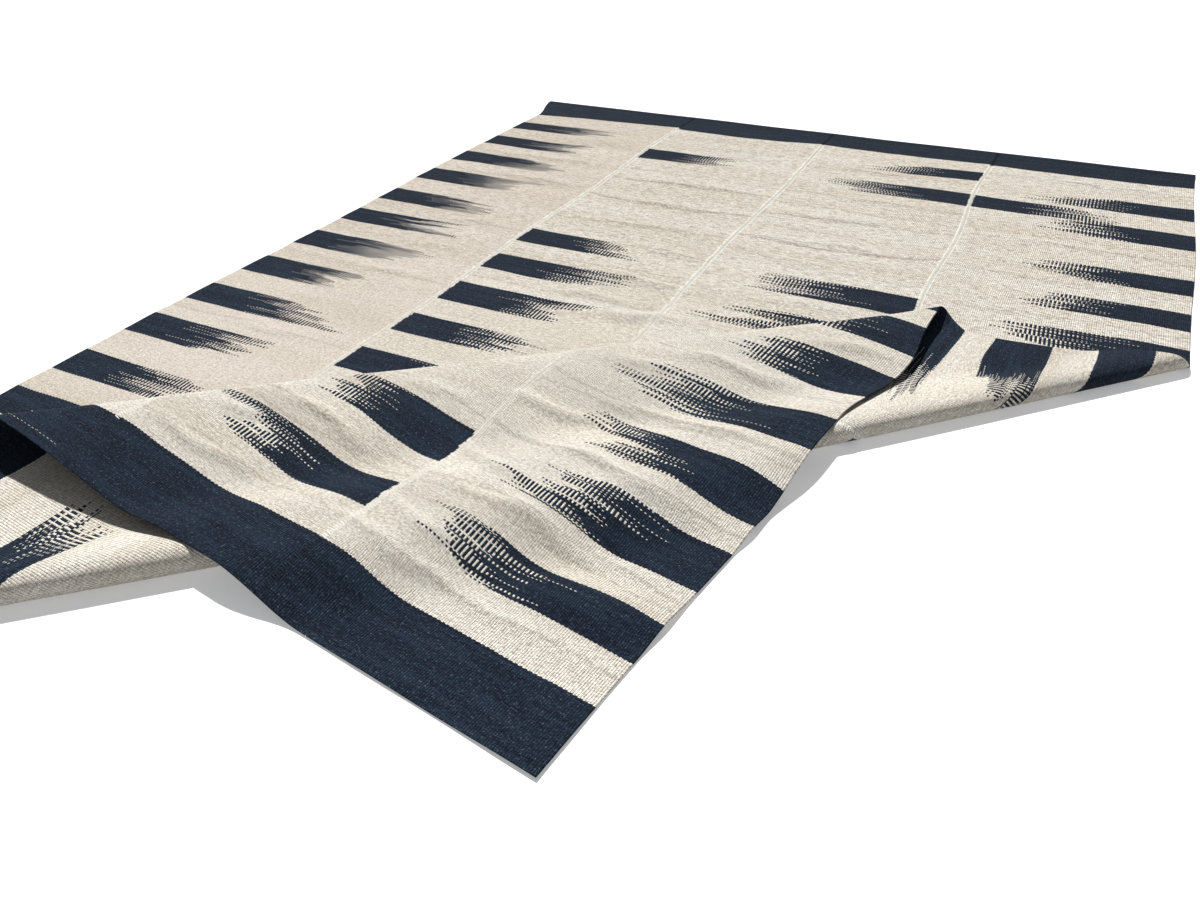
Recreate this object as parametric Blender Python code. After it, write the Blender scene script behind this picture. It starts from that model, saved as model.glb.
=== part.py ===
"""A flat-woven wool rug of four sewn strips, one corner folded back over it and forward again.

The rug lies face up on the floor. A slanting crease lifts its front right corner and lays it back
over the rug, and a second crease brings the corner forward again, over the first crease and down to
the floor. Each strip is one sheet of cloth. It is drawn flat, cut along the creases, given its
thickness and then bent, point by point, into the folded rug.

Frame: X across the rug, Y along it from the front end to the far end, Z up, metres.
The origin is on the floor at the middle of the rug.
"""

import math

import bmesh
import bpy
from mathutils import Vector

# The cloth
STRIP_WIDTHS = (0.628, 0.586, 0.592, 0.634)
RUG_WIDTH = sum(STRIP_WIDTHS)
RUG_LENGTH = 3.61
THICKNESS = 0.003
HEM_DEPTH = 0.026
HEM_EXTRA = 0.001
HEM_STEP = 0.003
SEAM_GAP = 0.0003
LAYER_GAP = 0.002

# How the selvages and seams wander sideways
# edge, counted from the left selvage: (drift from end to end, swing, wavelength, phase in turns)
EDGE_WANDER = (
    (0.000, 0.004, 1.30, 0.10),
    (0.000, 0.006, 0.95, 0.35),
    (0.030, 0.005, 1.10, 0.70),
    (0.045, 0.007, 0.80, 0.20),
    (0.000, 0.004, 1.05, 0.55),
)
EDGE_STEP = 0.12

# The creases: where each meets the right selvage, from the far end, its slant away from the
# weft, the radius of its roll there and at its left end, and its length
FIRST_CREASE = {"from_far_end": 1.428, "slant": 43.45, "radius": (0.021, 0.030), "length": 3.25}
SECOND_CREASE = {"from_far_end": 1.991, "slant": 47.4, "radius": (0.018, 0.045), "length": 2.20}

# How the layers settle beside the creases
FIRST_ROLL_RUN = 0.16
RIDGE_RUN = (0.30, 0.52)
DROP_START = 0.010
DROP_RUN = 0.17

# The first roll bows out towards the front, and the cloth on both sides gives way to it
BOW = 0.038
BOW_RUN = 0.34

# Where the two upper layers have slid over the one below
# (layer, across from the left selvage, from the far end, reach, slide across, slide to the front)
SLIDES = (
    ("middle", 1.98, 1.42, 0.34, 0.055, 0.045),
    ("top", 1.92, 1.38, 0.24, 0.025, -0.025),
    ("top", 1.86, 1.67, 0.36, 0.040, -0.004),
)

# Soft ridges in the top layer
# (across from the left selvage, from the far end, slant, half length, half width, height)
SWELLS = (
    (2.70, 3.42, 6.0, 0.30, 0.075, 0.012),
    (2.30, 3.30, 12.0, 0.26, 0.080, 0.016),
    (3.05, 3.02, 10.0, 0.36, 0.085, 0.011),
    (2.45, 2.98, 20.0, 0.26, 0.070, 0.012),
    (3.45, 2.72, 14.0, 0.34, 0.075, 0.010),
    (3.10, 2.55, 24.0, 0.30, 0.070, 0.009),
)

# How finely the bent cloth is cut
ROLL_SEGMENTS = 10
SETTLING_CUTS = (0.065, 0.095, 0.125, 0.155, 0.19)
DROP_CUTS = (0.0, 0.035, 0.065, 0.095, 0.125, 0.155, 0.185)
LAYER_STEP = 0.115
CROSS_STEP = 0.125
MIDDLE_CROSS_STEP = 0.25
MERGE_DISTANCE = 0.0002

WOOL_COLOUR = (0.69, 0.63, 0.53, 1.0)
WOOL_ROUGHNESS = 0.92


def smooth(value):
    """Ease from 0 to 1."""
    value = min(max(value, 0.0), 1.0)
    return value * value * (3.0 - 2.0 * value)


def blend(pair, share):
    """The value that lies the given share of the way along a pair."""
    return pair[0] + (pair[1] - pair[0]) * share


class Crease:
    """A straight crease in the flat cloth that opens into a round roll, wider towards its left end."""

    def __init__(self, from_far_end, slant, radius, length):
        angle = math.radians(slant)
        self.origin = Vector((RUG_WIDTH / 2, RUG_LENGTH / 2 - from_far_end))
        self.direction = Vector((-math.cos(angle), -math.sin(angle)))
        self.normal = Vector((math.sin(angle), -math.cos(angle)))
        self.radii = radius
        self.length = length

    def locate(self, flat):
        """How far a flat point lies along the crease, and how far past it."""
        offset = flat - self.origin
        return offset.dot(self.direction), offset.dot(self.normal)

    def point(self, along, past):
        return self.origin + self.direction * along + self.normal * past

    def share(self, along):
        return min(max(along / self.length, -0.2), 1.25)

    def radius(self, along):
        return blend(self.radii, self.share(along))

    def half_turn(self, along):
        """Half the length of cloth in the roll."""
        return self.radius(along) * math.pi / 2

    def mirror(self, flat):
        along, past = self.locate(flat)
        return self.point(along, -past)

    def ruling(self, share):
        """Two points on the straight line at one share of the roll, from -1 to 1."""
        return tuple(
            self.point(along, share * self.half_turn(along)) for along in (0.0, self.length)
        )

    def parallel(self, past):
        return self.point(0.0, past), self.point(self.length, past)

    def crossing(self, along):
        return self.point(along, 0.0), self.point(along, 1.0)


FIRST = Crease(**FIRST_CREASE)
SECOND = Crease(**SECOND_CREASE)


def bow(along, past):
    """How far the cloth beside the first crease is drawn out over its front."""
    middle = math.sin(math.pi * min(max(along / FIRST.length, 0.0), 1.0))
    return BOW * middle * (1.0 - smooth(abs(past) / BOW_RUN))


def slide(layer, place):
    """How far one of the upper layers has slid at a place over the floor."""
    total = Vector((0.0, 0.0))
    for name, across, from_far_end, reach, sideways, forwards in SLIDES:
        if name == layer:
            centre = Vector((across - RUG_WIDTH / 2, RUG_LENGTH / 2 - from_far_end))
            share = 1.0 - smooth((place - centre).length / reach)
            total += Vector((sideways, -forwards)) * share
    return total


def middle_layer_height(along, past):
    """Height of the back face of the cloth that lies back over the rug."""
    resting = 2 * THICKNESS + LAYER_GAP
    falling = 1.0 - smooth((past - FIRST.half_turn(along)) / FIRST_ROLL_RUN)
    return blend((resting, 2 * FIRST.radius(along)), falling)


def swell_height(flat):
    """Rise of the top layer over its soft ridges."""
    total = 0.0
    for across, from_far_end, slant, half_length, half_width, height in SWELLS:
        offset = flat - Vector((across - RUG_WIDTH / 2, RUG_LENGTH / 2 - from_far_end))
        angle = math.radians(slant)
        lengthwise = offset.x * math.cos(angle) + offset.y * math.sin(angle)
        sideways = offset.y * math.cos(angle) - offset.x * math.sin(angle)
        total += (
            height
            * (1.0 - smooth(abs(lengthwise) / half_length))
            * (1.0 - smooth(abs(sideways) / half_width))
        )
    return total


def top_layer_height(flat, along, past, ridge_along, ridge_past):
    """Height of the back face of the cloth that comes forward again, down to the floor."""
    under = middle_layer_height(along, max(past, FIRST.half_turn(along))) + LAYER_GAP
    drop = 1.0 - smooth((-past - DROP_START - bow(along, 0.0)) / DROP_RUN)
    ridge_run = blend(RIDGE_RUN, SECOND.share(ridge_along))
    rise = 2 * SECOND.radius(ridge_along) - LAYER_GAP
    fading = 1.0 - smooth((ridge_past - SECOND.half_turn(ridge_along)) / ridge_run)
    return under * drop + rise * fading + swell_height(flat)


def bend(flat, lift):
    """Place a point of the flat cloth, raised by lift from its back face, in the folded rug."""
    along, past = FIRST.locate(flat)
    radius = FIRST.radius(along)
    half_turn = FIRST.half_turn(along)
    if past <= -half_turn:
        place = FIRST.point(along, past + bow(along, past + half_turn))
        return Vector((place.x, place.y, lift))
    if past < half_turn:
        turn = past / radius + math.pi / 2
        reach = (radius - lift) * math.sin(turn) - half_turn
        place = FIRST.point(along, reach + bow(along, 0.0))
        return Vector((place.x, place.y, radius - (radius - lift) * math.cos(turn)))

    ridge_along, ridge_past = SECOND.locate(flat)
    ridge_radius = SECOND.radius(ridge_along)
    ridge_half_turn = SECOND.half_turn(ridge_along)
    turn = min(max(ridge_past / ridge_radius + math.pi / 2, 0.0), math.pi)
    if ridge_past <= -ridge_half_turn:
        unfolded = flat
    elif ridge_past < ridge_half_turn:
        reach = (ridge_radius + lift) * math.sin(turn) - ridge_half_turn
        unfolded = SECOND.point(ridge_along, reach)
    else:
        unfolded = SECOND.point(ridge_along, -ridge_past)
    along, past = FIRST.locate(unfolded)
    place = FIRST.point(along, -past)
    if ridge_past < ridge_half_turn:
        place += FIRST.normal * bow(along, past - FIRST.half_turn(along))
    place += slide("middle", place).lerp(slide("top", place), turn / math.pi)
    if ridge_past < ridge_half_turn:
        roll = ridge_radius * (1.0 - math.cos(turn))
        height = middle_layer_height(along, past) + roll - lift * math.cos(turn)
    else:
        height = top_layer_height(flat, along, past, ridge_along, ridge_past) + lift
    return Vector((place.x, place.y, height))


def edge_across(index, from_far_end):
    """Place across the flat rug of one selvage or seam."""
    drift, swing, wavelength, phase = EDGE_WANDER[index]
    wander = swing * math.sin(2 * math.pi * (from_far_end / wavelength + phase))
    wander += drift * from_far_end / RUG_LENGTH
    return sum(STRIP_WIDTHS[:index]) - RUG_WIDTH / 2 + wander


def steps(start, end, step):
    """Evenly spaced values from start to end, both kept."""
    count = max(1, round(abs(end - start) / step))
    return [start + (end - start) * i / count for i in range(count + 1)]


def flat_outline(index):
    """Outline of one strip, its two long edges wandering, half a seam gap inside each seam."""
    inset = SEAM_GAP / 2
    down = steps(0.0, RUG_LENGTH, EDGE_STEP)
    left = [(edge_across(index, d) + inset, RUG_LENGTH / 2 - d) for d in down]
    right = [(edge_across(index + 1, d) - inset, RUG_LENGTH / 2 - d) for d in down]
    return left + right[::-1]


def region(flat):
    """The layer of the folded rug that a flat point belongs to."""
    along, past = FIRST.locate(flat)
    if past < -FIRST.half_turn(along):
        return "lower"
    if past < FIRST.half_turn(along):
        return "first roll"
    along, past = SECOND.locate(flat)
    if past < -SECOND.half_turn(along):
        return "middle"
    if past < SECOND.half_turn(along):
        return "second roll"
    return "top"


def cut(mesh, line, regions=None):
    """Cut the flat faces of the named regions along the straight line through two points."""
    start, end = line
    direction = (end - start).normalized()
    faces = [
        face
        for face in mesh.faces
        if regions is None or region(face.calc_center_median().xy) in regions
    ]
    edges = {edge for face in faces for edge in face.edges}
    verts = {vert for face in faces for vert in face.verts}
    bmesh.ops.bisect_plane(
        mesh,
        geom=faces + list(edges) + list(verts),
        dist=1e-6,
        plane_co=(start.x, start.y, 0.0),
        plane_no=(direction.y, -direction.x, 0.0),
    )


def cut_hems(mesh):
    for depth in (HEM_DEPTH, HEM_DEPTH + HEM_STEP):
        for y in (RUG_LENGTH / 2 - depth, depth - RUG_LENGTH / 2):
            cut(mesh, (Vector((-RUG_WIDTH, y)), Vector((RUG_WIDTH, y))))


def cut_layers(mesh):
    """Cut the flat strip finely enough to bend round the rolls and settle beside them."""
    for crease in (FIRST, SECOND):
        for step in range(ROLL_SEGMENTS + 1):
            cut(mesh, crease.ruling(2.0 * step / ROLL_SEGMENTS - 1.0))
    for past in SETTLING_CUTS:
        cut(mesh, FIRST.parallel(past), {"middle"})
        cut(mesh, tuple(SECOND.mirror(p) for p in FIRST.parallel(past)), {"top"})
    for past in DROP_CUTS:
        cut(mesh, tuple(SECOND.mirror(p) for p in FIRST.parallel(-past)), {"top"})
    reach = steps(DROP_CUTS[-1] + LAYER_STEP, RUG_LENGTH / 2, LAYER_STEP)
    for past in reach:
        cut(mesh, FIRST.parallel(past), {"middle"})
        for side in (past, -past):
            cut(mesh, tuple(SECOND.mirror(p) for p in FIRST.parallel(side)), {"top"})
    for along in steps(-RUG_LENGTH / 2, RUG_LENGTH, CROSS_STEP):
        cut(mesh, SECOND.crossing(along), {"top"})
    for along in steps(0.0, RUG_LENGTH, MIDDLE_CROSS_STEP):
        cut(mesh, FIRST.crossing(along), {"middle", "first roll"})
        cut(mesh, SECOND.crossing(along), {"second roll"})


def cloth_thickness(flat):
    """Thickness of the cloth, a little more where its ends are turned under."""
    from_end = RUG_LENGTH / 2 - abs(flat.y)
    return THICKNESS + HEM_EXTRA * (1.0 - smooth((from_end - HEM_DEPTH) / HEM_STEP))


def thicken(mesh):
    """Turn the flat sheet into a closed slab, its back face at zero."""
    lifted = bmesh.ops.extrude_face_region(mesh, geom=mesh.faces[:], use_keep_orig=True)
    for vert in lifted["geom"]:
        if isinstance(vert, bmesh.types.BMVert):
            vert.co.z = cloth_thickness(vert.co.xy)
    bmesh.ops.recalc_face_normals(mesh, faces=mesh.faces[:])


def split_rims(mesh):
    """Split each face of the slab's rim from its farther back corner to its nearer front corner."""
    for face in [face for face in mesh.faces if len(face.verts) > 3]:
        back = max((v for v in face.verts if v.co.z == 0.0), key=lambda v: (v.co.y, v.co.x))
        front = min((v for v in face.verts if v.co.z > 0.0), key=lambda v: (v.co.y, v.co.x))
        bmesh.utils.face_split(face, back, front)


def strip_mesh(index):
    mesh = bmesh.new()
    mesh.faces.new([mesh.verts.new((x, y, 0.0)) for x, y in flat_outline(index)])
    cut_hems(mesh)
    cut_layers(mesh)
    bmesh.ops.remove_doubles(mesh, verts=mesh.verts[:], dist=MERGE_DISTANCE)
    bmesh.ops.triangulate(mesh, faces=mesh.faces[:], quad_method="SHORT_EDGE", ngon_method="BEAUTY")
    thicken(mesh)
    split_rims(mesh)
    for vert in mesh.verts:
        vert.co = bend(vert.co.xy, vert.co.z)
    return mesh


def wool_material(name):
    material = bpy.data.materials.new(name)
    material.use_nodes = True
    shader = material.node_tree.nodes["Principled BSDF"]
    shader.inputs["Base Color"].default_value = WOOL_COLOUR
    shader.inputs["Roughness"].default_value = WOOL_ROUGHNESS
    shader.inputs["Metallic"].default_value = 0.0
    material.diffuse_color = WOOL_COLOUR
    return material


def add_strip(index):
    name = f"panel_{index + 1}"
    mesh = strip_mesh(index)
    data = bpy.data.meshes.new(name)
    mesh.to_mesh(data)
    mesh.free()
    data.materials.append(wool_material(f"wool_{index + 1}"))
    strip = bpy.data.objects.new(name, data)
    bpy.context.scene.collection.objects.link(strip)
    return strip


def main():
    for thing in list(bpy.data.objects):
        bpy.data.objects.remove(thing, do_unlink=True)
    for index in range(len(STRIP_WIDTHS)):
        add_strip(index)


main()
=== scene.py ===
"""The folded flat-woven rug: woven strips, sewn seams and hems, floor, light and camera.

Frame: X across the rug, Y along it from the front end to the far end, Z up, metres.
Places in the flat rug are given as across, from the left selvage, and down, from the far end.
"""

from math import cos, pi, radians, sin

import bpy
import numpy as np
from mathutils import Matrix, Vector


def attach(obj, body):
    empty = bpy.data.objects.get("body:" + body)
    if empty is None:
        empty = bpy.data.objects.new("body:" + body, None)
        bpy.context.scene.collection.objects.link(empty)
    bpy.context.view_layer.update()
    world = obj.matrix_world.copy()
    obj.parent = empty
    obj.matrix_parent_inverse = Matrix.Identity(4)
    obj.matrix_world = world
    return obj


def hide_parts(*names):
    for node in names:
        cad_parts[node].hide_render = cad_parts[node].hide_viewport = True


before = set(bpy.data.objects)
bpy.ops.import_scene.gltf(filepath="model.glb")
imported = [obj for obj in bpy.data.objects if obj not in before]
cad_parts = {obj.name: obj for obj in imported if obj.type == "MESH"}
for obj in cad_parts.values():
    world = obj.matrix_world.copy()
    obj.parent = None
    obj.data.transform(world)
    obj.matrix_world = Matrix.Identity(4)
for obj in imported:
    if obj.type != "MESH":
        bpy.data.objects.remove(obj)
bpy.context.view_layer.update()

# The cloth, as in the solids
STRIP_WIDTHS = (0.628, 0.586, 0.592, 0.634)
RUG_WIDTH = sum(STRIP_WIDTHS)
RUG_LENGTH = 3.61
THICKNESS = 0.003
HEM_DEPTH = 0.026
HEM_EXTRA = 0.001
HEM_STEP = 0.003
SEAM_GAP = 0.0003
LAYER_GAP = 0.002

# How each selvage and seam wanders: (drift from end to end, swing, wavelength, phase in turns)
EDGE_WANDER = (
    (0.0, 0.004, 1.3, 0.1),
    (0.0, 0.006, 0.95, 0.35),
    (0.03, 0.005, 1.1, 0.7),
    (0.045, 0.007, 0.8, 0.2),
    (0.0, 0.004, 1.05, 0.55),
)

# The creases: down is where each meets the right selvage, slant is away from the weft, in
# degrees, and radius is the roll's, there and at its left end
FIRST_CREASE = {"down": 1.428, "slant": 43.45, "radius": (0.021, 0.03), "length": 3.25}
SECOND_CREASE = {"down": 1.991, "slant": 47.4, "radius": (0.018, 0.045), "length": 2.2}

# How the layers settle beside the creases, and how the first roll bows out to the front
FIRST_ROLL_RUN = 0.16
RIDGE_RUN = (0.3, 0.52)
DROP_START = 0.01
DROP_RUN = 0.17
BOW = 0.038
BOW_RUN = 0.34

# Where the upper layers have slid: (layer, across, down, reach, slide across, slide down)
SLIDES = (
    ("middle", 1.98, 1.42, 0.34, 0.055, 0.045),
    ("top", 1.92, 1.38, 0.24, 0.025, -0.025),
    ("top", 1.86, 1.67, 0.36, 0.04, -0.004),
    ("middle", 1.93, 1.46, 0.26, -0.022, 0.004),
    ("top", 1.92, 1.46, 0.3, -0.024, 0.0),
)

# Soft ridges in the top layer: (across, down, slant, half length, half width, height)
SWELLS = (
    (2.7, 3.42, 6.0, 0.3, 0.075, 0.012), (2.3, 3.3, 12.0, 0.26, 0.08, 0.016),
    (3.05, 3.02, 10.0, 0.36, 0.085, 0.011), (2.45, 2.98, 20.0, 0.26, 0.07, 0.012),
    (3.45, 2.72, 14.0, 0.34, 0.075, 0.01), (3.1, 2.55, 24.0, 0.3, 0.07, 0.009),
)

# The mesh of each strip: its grid, the lines beside its edges and hems, and its rim
GRID_STEP = 0.0086
EDGE_LINES = (0.0, 0.0008, 0.0024, 0.006, 0.013)
HEM_LINES = (0.0, 0.0008, 0.003, 0.009, 0.017, 0.0255, 0.0275, 0.0292, 0.036)
RIM_BULGE = 0.0011
EDGE_DIP = 0.0003
EDGE_DIP_RUN = 0.0045

# The far left corner is drawn out sideways: how far, and its run across and down
FLARE = 0.052
FLARE_RUN = (0.34, 0.2)

# The weave: its pitches, how far navy spreads across and along, the inner edges of the navy
# end bands, and where the far band's lean fades: (start, run)
WARP_PITCH = 0.0052
PICK_PITCH = 0.0012
NAVY_SPREAD = (0.00045, 0.0004)
FAR_BAND = 0.157
FRONT_BAND = 3.465
LEAN_FADE = (0.15, 0.45)

# Where the far navy band ends in each strip: at its left edge, middle and right edge
BAND_EDGES = (
    (0.199, 0.175, 0.152),
    (0.172, 0.181, 0.148),
    (0.151, 0.158, 0.138),
    (0.146, 0.154, 0.143),
)

# Feathered bars of each strip, measured across from the side where the bar is solid:
# (middle, depth, end of the solid part, tip across, tip down, second tip down, its reach as a
# share of the first tip's)
LEFT_BARS = {
    0: (
        (0.34, 0.102, 0.22, 0.48, 0.345, 0.308, 0.8),
        (0.56, 0.104, 0.26, 0.455, 0.525, 0.592, 0.82),
        (0.774, 0.103, 0.22, 0.485, 0.8, 0.75, 0.75),
        (0.991, 0.115, 0.19, 0.49, 0.945, 1.012, 0.86),
        (1.213, 0.106, 0.17, 0.49, 1.232, 1.19, 0.8),
        (1.414, 0.1, 0.2, 0.47, 1.378, 1.443, 0.92),
        (1.625, 0.108, 0.2, 0.48, 1.617, 1.655, 0.75),
        (1.843, 0.109, 0.22, 0.385, 1.8, 1.87, 0.8),
        (2.05, 0.1, 0.22, 0.52, 2.073, 2.03, 0.72),
        (2.256, 0.105, 0.22, 0.465, 2.214, 2.27, 0.92),
        (2.473, 0.1, 0.2, 0.49, 2.455, 2.505, 0.8),
        (2.665, 0.098, 0.18, 0.48, 2.64, 2.69, 0.8),
        (2.87, 0.1, 0.19, 0.47, 2.885, 2.85, 0.75),
        (3.075, 0.102, 0.18, 0.49, 3.05, 3.1, 0.75),
        (3.28, 0.1, 0.18, 0.46, 3.3, 3.255, 0.75),
    ),
    1: (
        (0.487, 0.113, 0.18, 0.39, 0.45, 0.505, 0.8),
        (1.341, 0.103, 0.2, 0.4, 1.362, 1.315, 0.75),
        (1.546, 0.106, 0.2, 0.462, 1.528, 1.57, 0.72),
        (1.761, 0.112, 0.22, 0.46, 1.722, 1.79, 0.78),
        (1.965, 0.098, 0.2, 0.436, 1.935, 1.99, 0.75),
        (2.171, 0.107, 0.2, 0.43, 2.13, 2.2, 0.75),
        (2.39, 0.1, 0.2, 0.44, 2.41, 2.36, 0.75),
        (2.6, 0.1, 0.19, 0.43, 2.58, 2.63, 0.75),
        (2.8, 0.1, 0.17, 0.33, 2.825, 2.775, 0.75),
        (3.192, 0.145, 0.13, 0.3, 3.222, 3.135, 0.97),
    ),
    3: ((0.522, 0.104, 0.21, 0.46, 0.552, 0.5, 0.8),),
}
RIGHT_BARS = {
    2: (
        (0.3, 0.084, 0.16, 0.44, 0.33, 0.288, 0.65),
        (0.523, 0.109, 0.2, 0.51, 0.518, 0.565, 0.7),
        (1.356, 0.116, 0.18, 0.48, 1.331, 1.398, 0.92),
        (1.576, 0.114, 0.18, 0.556, 1.618, 1.545, 0.75),
        (1.765, 0.1, 0.18, 0.48, 1.78, 1.735, 0.7),
        (1.96, 0.1, 0.18, 0.47, 1.94, 1.985, 0.7),
        (2.15, 0.105, 0.19, 0.45, 2.17, 2.12, 0.7),
        (2.35, 0.1, 0.18, 0.46, 2.33, 2.38, 0.7),
        (2.54, 0.105, 0.18, 0.45, 2.56, 2.51, 0.7),
        (3.107, 0.115, 0.22, 0.372, 3.142, 3.07, 0.88),
        (3.318, 0.09, 0.24, 0.52, 3.287, 3.345, 0.72),
    ),
    3: (
        (0.402, 0.1, 0.19, 0.5, 0.413, 0.385, 0.85),
        (0.629, 0.115, 0.18, 0.43, 0.642, 0.6, 0.88),
        (0.956, 0.104, 0.2, 0.44, 0.945, 0.98, 0.85),
        (1.168, 0.101, 0.22, 0.45, 1.188, 1.142, 0.85),
        (1.368, 0.101, 0.2, 0.46, 1.382, 1.345, 0.88),
        (1.57, 0.12, 0.32, 0.4, 1.53, 1.596, 0.8),
        (1.818, 0.132, 0.235, 0.415, 1.8, 1.768, 0.95),
        (2.005, 0.112, 0.18, 0.5, 1.982, 2.03, 0.7),
        (2.206, 0.128, 0.16, 0.32, 2.245, 2.165, 0.85),
        (2.43, 0.124, 0.175, 0.355, 2.446, 2.4, 0.85),
        (2.685, 0.128, 0.175, 0.55, 2.712, 2.64, 0.8),
        (2.92, 0.114, 0.2, 0.536, 2.88, 2.958, 0.66),
        (3.112, 0.115, 0.18, 0.53, 3.145, 3.082, 0.72),
        (3.32, 0.091, 0.25, 0.575, 3.3, 3.345, 0.85),
    ),
}

# Where the picks bend: (strip, across from its left edge, down, reach across, reach down, shift)
PULLS = (
    (0, 0.47, 0.5, 0.2, 0.09, 0.022), (0, 0.45, 1.37, 0.18, 0.09, 0.012),
    (0, 0.45, 0.96, 0.18, 0.09, 0.014), (1, 0.38, 0.45, 0.18, 0.09, 0.01),
    (1, 0.47, 1.72, 0.18, 0.1, 0.014), (3, 0.33, 1.8, 0.26, 0.17, 0.034),
    (3, 0.17, 2.86, 0.22, 0.13, 0.026), (3, 0.12, 2.64, 0.2, 0.12, -0.016),
    (3, 0.24, 2.44, 0.2, 0.12, -0.014), (3, 0.1, 3.12, 0.2, 0.12, 0.014),
    (3, 0.14, 3.31, 0.22, 0.1, 0.01), (2, 0.3, 3.13, 0.22, 0.12, 0.014),
    (2, 0.22, 3.3, 0.22, 0.1, 0.016),
)

# Tips of a feather: how far from the bar's middle one may lie, as a share of half the bar's
# depth, and the first tip's width in the middle and how much less at the edge
TIP_LIMIT = 0.9
FIRST_TIP_WIDTH = (1.15, 0.45)

# Thin dark lines in each strip, partly a darker skein's start and partly painted shade where
# the cloth creases: (down at the left edge, in the middle, at the right edge, half width, strength)
STREAKS = {
    0: (
        (0.69, 0.7, 0.688, 0.004, 0.35), (0.896, 0.905, 0.9, 0.0045, 0.45),
        (1.312, 1.318, 1.33, 0.004, 0.3), (1.53, 1.52, 1.528, 0.0045, 0.4),
        (1.728, 1.738, 1.745, 0.004, 0.4), (2.15, 2.142, 2.155, 0.0045, 0.45),
    ),
    1: (
        (0.335, 0.318, 0.31, 0.0045, 0.6), (0.61, 0.604, 0.622, 0.0035, 0.3),
        (0.664, 0.658, 0.668, 0.0045, 0.5), (0.768, 0.762, 0.742, 0.0055, 0.9),
        (0.85, 0.862, 0.856, 0.0035, 0.35), (0.94, 0.966, 0.93, 0.006, 1.0),
        (1.05, 1.06, 1.046, 0.0035, 0.4), (1.164, 1.15, 1.125, 0.0045, 0.6),
        (1.23, 1.24, 1.222, 0.0035, 0.4), (1.44, 1.45, 1.432, 0.004, 0.35),
        (1.65, 1.662, 1.64, 0.004, 0.4),
    ),
    2: (
        (0.4, 0.385, 0.372, 0.0045, 0.6), (0.446, 0.44, 0.448, 0.003, 0.35),
        (0.655, 0.664, 0.66, 0.007, 0.7), (0.72, 0.712, 0.722, 0.003, 0.35),
        (0.776, 0.768, 0.772, 0.0045, 0.6), (0.886, 0.866, 0.844, 0.0045, 0.65),
        (0.96, 0.972, 0.95, 0.0035, 0.4), (1.07, 1.09, 1.032, 0.006, 1.0),
        (1.17, 1.182, 1.16, 0.004, 0.45), (1.25, 1.24, 1.236, 0.0035, 0.4),
        (1.468, 1.48, 1.46, 0.004, 0.4), (3.03, 3.006, 3.012, 0.0035, 0.5),
        (3.196, 3.212, 3.2, 0.004, 0.6), (3.246, 3.252, 3.244, 0.0035, 0.55),
        (3.41, 3.398, 3.404, 0.0035, 0.5),
    ),
    3: (
        (0.226, 0.236, 0.23, 0.006, 0.7), (0.735, 0.742, 0.73, 0.0035, 0.4),
        (0.8, 0.792, 0.804, 0.0045, 0.6), (1.05, 1.056, 1.04, 0.004, 0.45),
        (1.262, 1.27, 1.256, 0.0035, 0.4), (1.48, 1.472, 1.482, 0.0035, 0.35),
        (2.32, 2.326, 2.316, 0.0035, 0.4), (2.548, 2.56, 2.54, 0.004, 0.45),
        (2.79, 2.8, 2.784, 0.0045, 0.65), (2.83, 2.822, 2.812, 0.003, 0.4),
        (3.0, 3.022, 3.01, 0.0045, 0.65), (3.21, 3.196, 3.212, 0.0045, 0.6),
        (3.24, 3.234, 3.238, 0.003, 0.45), (3.402, 3.41, 3.396, 0.004, 0.5),
    ),
}

# How each line sways: (swing, turns across the strip, turns of phase for each metre)
STREAK_SWAY = (0.004, 2.3, 5.0)

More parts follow.
